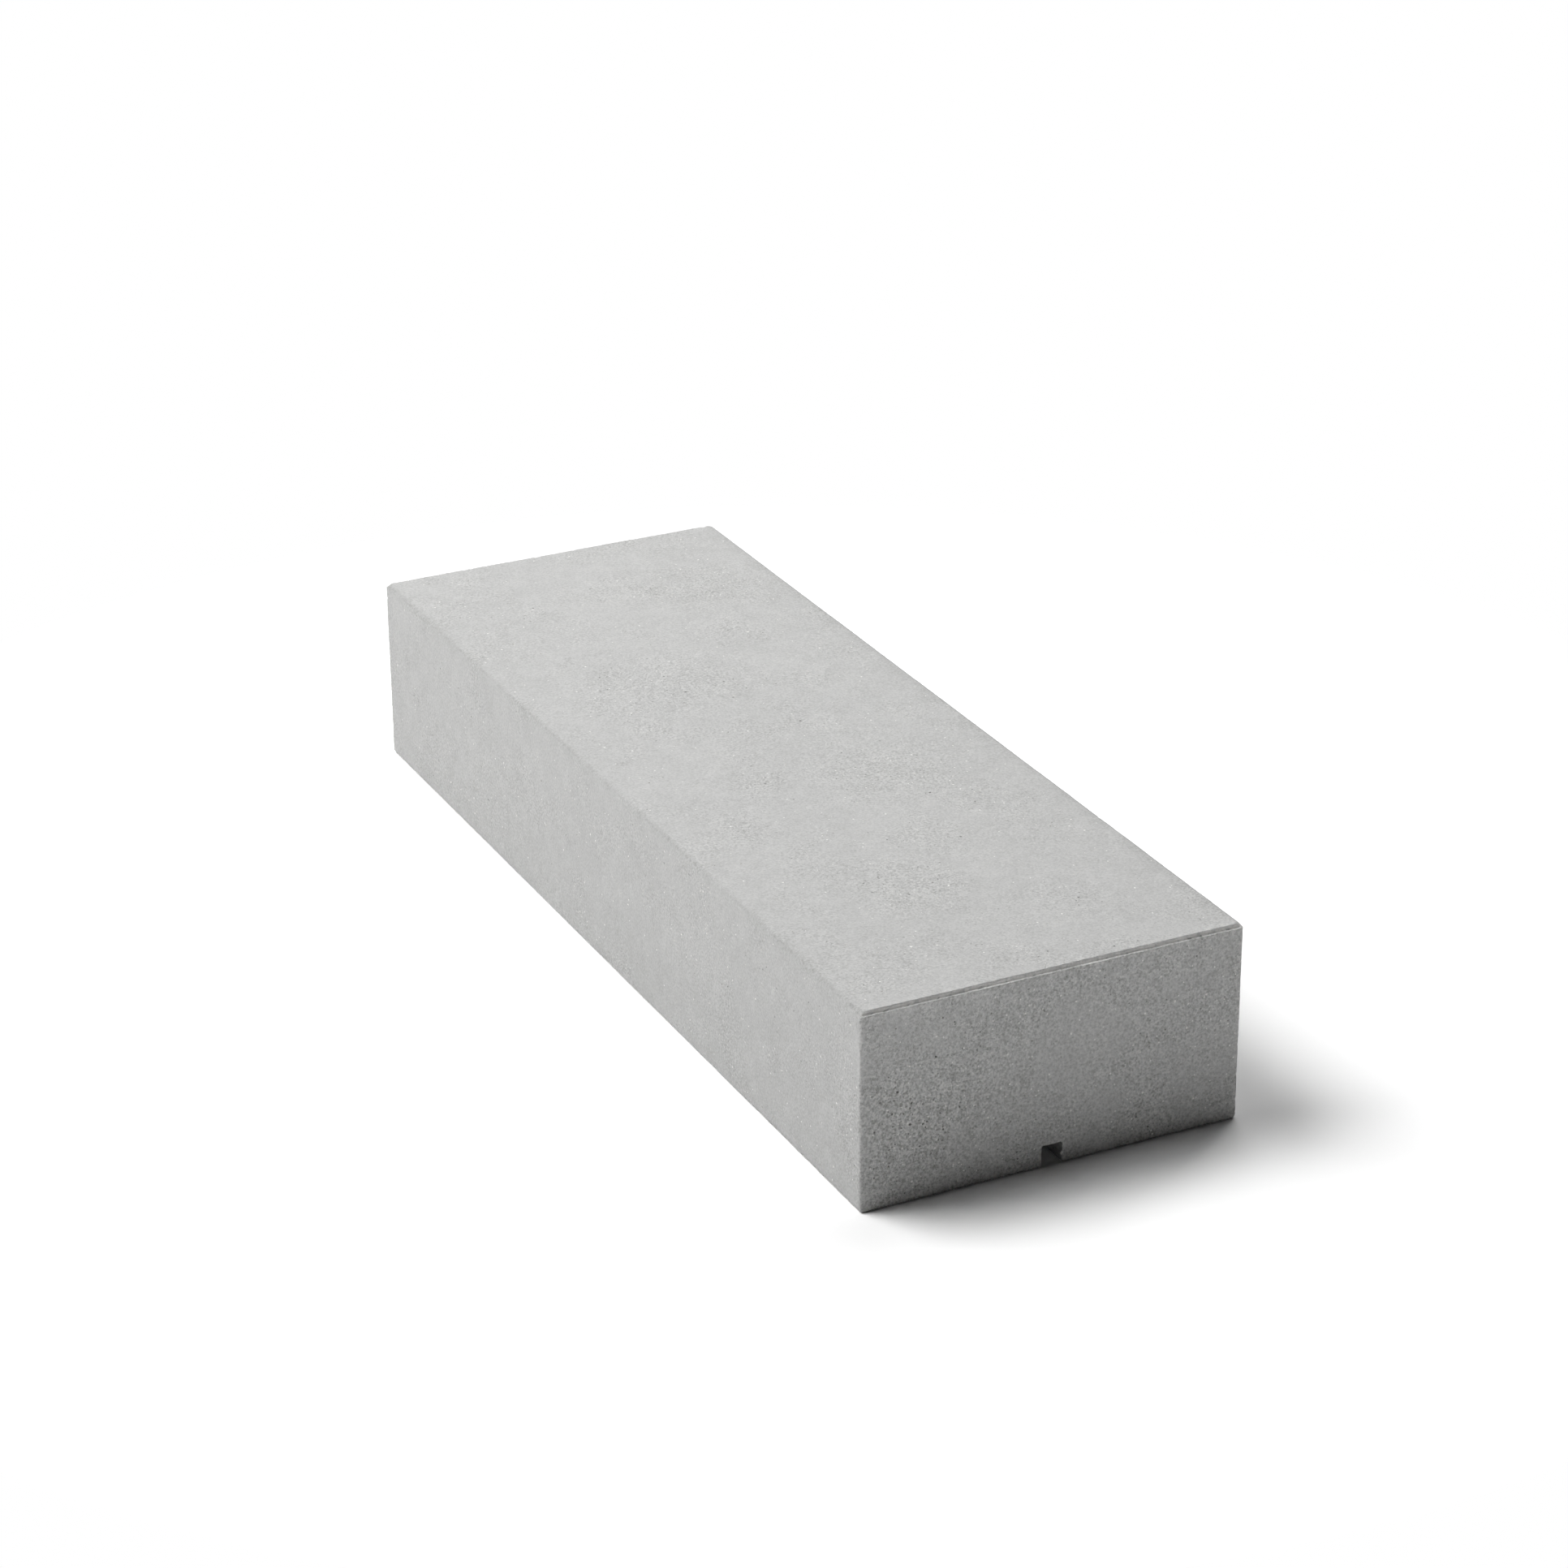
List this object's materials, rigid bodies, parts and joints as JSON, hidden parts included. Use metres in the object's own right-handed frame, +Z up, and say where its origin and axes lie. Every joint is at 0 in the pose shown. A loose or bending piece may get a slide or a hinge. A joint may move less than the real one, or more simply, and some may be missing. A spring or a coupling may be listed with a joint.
{
  "type": "concrete coping stone",
  "caption": "Rectangular pressed concrete coping block for a wall top, with a bevelled top face and a drip groove along the middle of its bed.",
  "frame": {"origin": "middle of the bed, the underside that lies on the wall", "axes": "+Y along the stone's length, +X across its width, +Z up, out of the bevelled top face"},
  "size_m": [0.2, 0.575, 0.1025],
  "materials": {
    "concrete": "dry-pressed grey concrete, matte, sandy and finely pitted"
  },
  "bodies": {
    "root": {"coping_stone": "concrete"}
  },
  "joints": []
}
